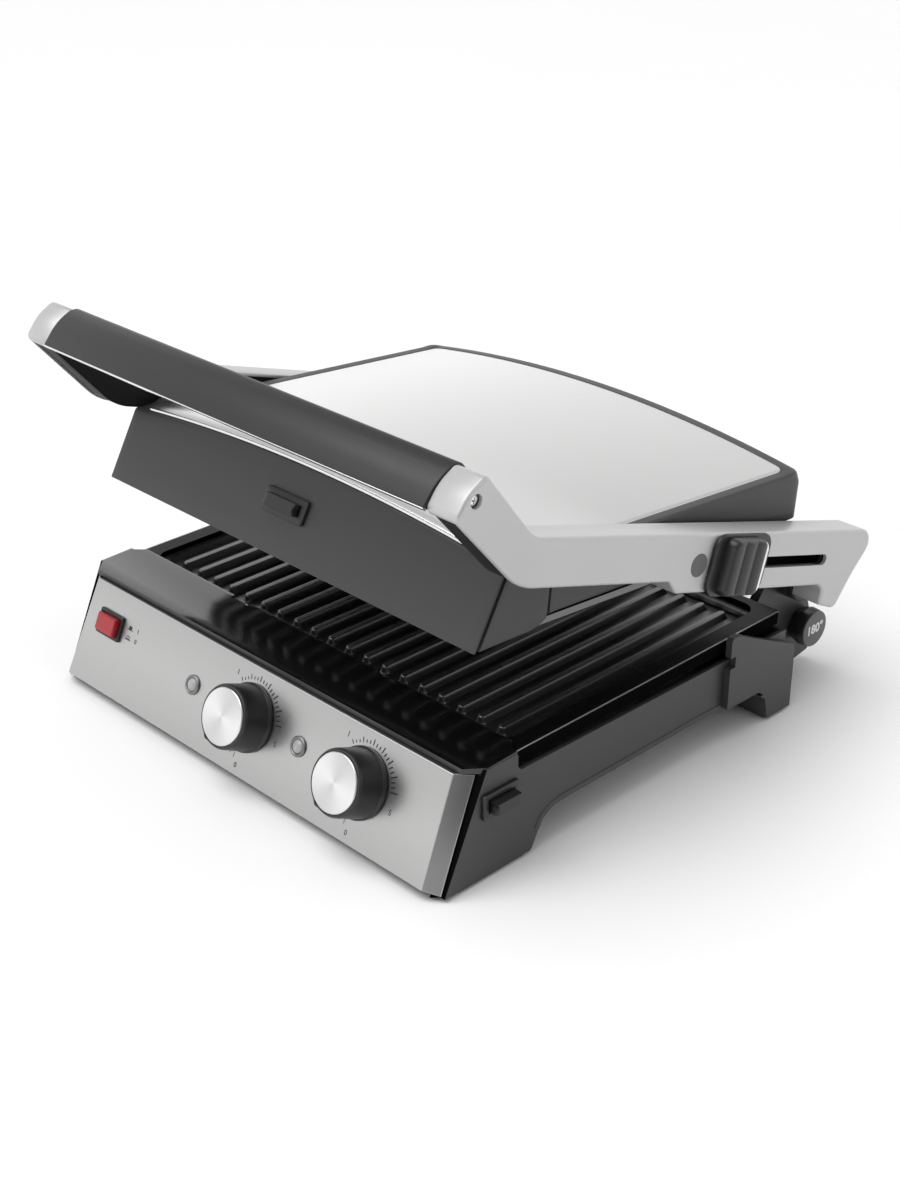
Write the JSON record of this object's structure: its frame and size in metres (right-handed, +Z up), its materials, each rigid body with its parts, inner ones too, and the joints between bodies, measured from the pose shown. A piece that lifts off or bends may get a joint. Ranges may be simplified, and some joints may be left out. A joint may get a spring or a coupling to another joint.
{
  "type": "panini press",
  "caption": "Contact grill with a ribbed lower plate and a floating ribbed lid on two side arms joined by a front handle; hinged at the rear.",
  "frame": {"origin": "centre of the footprint box, on the surface the press stands on", "axes": "+Z up, -Y towards the control panel and the user, +X to the user's right"},
  "size_m": [0.3574, 0.3605, 0.2305],
  "materials": {
    "satin_black": "satin moulded plastic",
    "gloss_black": "piano gloss",
    "knob_black": "fine satin",
    "inner_black": "matt",
    "silver_cast": "satin silver lacquer on die casting",
    "brushed_steel": "brushed",
    "bright_metal": "bright",
    "cap_grey": "satin",
    "cast_coated": "dark non-stick coating",
    "element_steel": "drawn steel",
    "ceramic": "heat-proof moulding",
    "rubber": "matt",
    "switch_red": "glossy red",
    "lamp_clear": "smoky clear"
  },
  "bodies": {
    "base": {"base_tub": "satin_black", "control_panel": "brushed_steel", "top_frame": "gloss_black", "bottom_cover": "satin_black", "rear_bracket_left": "satin_black", "rear_bracket_right": "satin_black", "foot_pad_front_left": "rubber", "foot_pad_front_right": "rubber", "foot_pad_rear_left": "rubber", "foot_pad_rear_right": "rubber", "hinge_support_left": "satin_black", "hinge_support_right": "satin_black", "rear_cover": "satin_black", "cord_gland": "knob_black", "lower_plate": "cast_coated", "lower_heater": "element_steel", "lower_reflector": "bright_metal", "terminal_block": "ceramic", "thermostat_left": "ceramic", "thermostat_right": "ceramic", "lamp_lens_left": "lamp_clear", "lamp_lens_right": "lamp_clear", "lamp_ring_left": "bright_metal", "lamp_ring_right": "bright_metal", "switch_housing": "knob_black", "side_button_bezel": "satin_black"},
    "hinge_block": {"hinge_shaft": "element_steel", "hinge_knuckle_left": "inner_black", "hinge_knuckle_right": "inner_black"},
    "arms": {"arm_left": "silver_cast", "arm_right": "silver_cast", "arm_inner_cover_left": "inner_black", "arm_inner_cover_right": "inner_black", "handle_screw_left": "bright_metal", "handle_screw_right": "bright_metal", "handle_grip": "knob_black", "handle_rod": "element_steel", "slider_track": "knob_black"},
    "lid": {"lid_shell": "satin_black", "lid_cover": "brushed_steel", "upper_plate": "cast_coated", "upper_heater": "element_steel", "upper_reflector": "bright_metal", "lid_liner": "inner_black", "lid_pivot_pin_left": "cap_grey", "lid_pivot_pin_right": "cap_grey", "lid_button_bezel": "satin_black"},
    "slider": {"height_slider": "knob_black", "slider_trim": "bright_metal"},
    "release": {"release_knob": "knob_black", "release_knob_cap": "cap_grey"},
    "knob_left": {"thermostat_knob_left": "knob_black", "knob_cap_left": "bright_metal", "thermostat_shaft_left": "element_steel"},
    "knob_right": {"thermostat_knob_right": "knob_black", "knob_cap_right": "bright_metal", "thermostat_shaft_right": "element_steel"},
    "power_switch": {"power_button": "switch_red"},
    "side_release": {"side_button": "knob_black"},
    "lid_release": {"lid_button": "knob_black"}
  },
  "joints": [
    {"name": "open_hinge", "type": "hinge", "parent": "base", "child": "hinge_block", "pos_m": [-0.0048, 0.15185, 0.071], "axis": [-1, 0, 0], "range_deg": [0, 157]},
    {"name": "press_hinge", "type": "hinge", "parent": "hinge_block", "child": "arms", "pos_m": [-0.0048, 0.15185, 0.071], "axis": [-1, 0, 0], "range_deg": [-17.34, 0]},
    {"name": "lid_pivot", "type": "hinge", "parent": "arms", "child": "lid", "pos_m": [-0.0048, 0.01727, 0.13083], "axis": [-1, 0, 0], "range_deg": [0, 12.6]},
    {"name": "height_slide", "type": "slide", "parent": "arms", "child": "slider", "axis": [0, 0.9546, -0.298], "range_m": [0, 0.06]},
    {"name": "release_turn", "type": "hinge", "parent": "base", "child": "release", "pos_m": [0.1412, 0.16385, 0.03], "axis": [1, 0, 0], "range_deg": [0, 60]},
    {"name": "knob_left_turn", "type": "hinge", "parent": "base", "child": "knob_left", "pos_m": [-0.0008, -0.15458, 0.03692], "axis": [0, 0.91, -0.4147], "range_deg": [0, 270]},
    {"name": "knob_right_turn", "type": "hinge", "parent": "base", "child": "knob_right", "pos_m": [0.0912, -0.15458, 0.03692], "axis": [0, 0.91, -0.4147], "range_deg": [0, 270]},
    {"name": "power_push", "type": "slide", "parent": "base", "child": "power_switch", "axis": [0, 0.91, -0.4147], "range_m": [0, 0.003], "stiffness_N_per_m": 400},
    {"name": "side_button_push", "type": "slide", "parent": "base", "child": "side_release", "axis": [-1, 0, 0], "range_m": [0, 0.004], "stiffness_N_per_m": 500},
    {"name": "lid_button_push", "type": "slide", "parent": "lid", "child": "lid_release", "axis": [0, 0.8711, -0.4911], "range_m": [0, 0.004], "stiffness_N_per_m": 500}
  ],
  "couplings": [
    {"joint": "lid_pivot", "follows": "press_hinge", "ratio": -0.72318}
  ]
}
